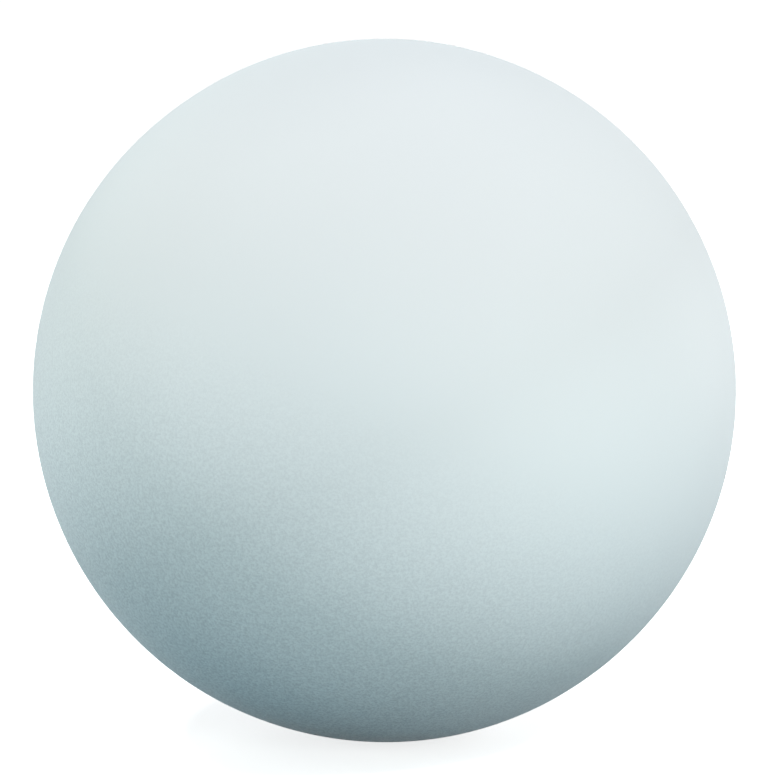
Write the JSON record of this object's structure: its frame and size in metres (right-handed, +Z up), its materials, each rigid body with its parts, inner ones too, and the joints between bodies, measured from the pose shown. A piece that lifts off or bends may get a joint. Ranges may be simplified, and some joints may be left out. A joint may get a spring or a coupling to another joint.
{
  "type": "polystyrene ball",
  "caption": "Solid white ball of moulded polystyrene foam with a smooth fine-grained skin, for crafts and decoration.",
  "frame": {"origin": "centre of the ball", "axes": "+Z up, -Y towards the camera; the ball is the same about every axis"},
  "size_m": [0.1, 0.1, 0.1],
  "materials": {
    "polystyrene_foam": "moulded foam skin, cool white, satin, with a fine grain of fused beads"
  },
  "bodies": {
    "root": {"ball": "polystyrene_foam"}
  },
  "joints": []
}
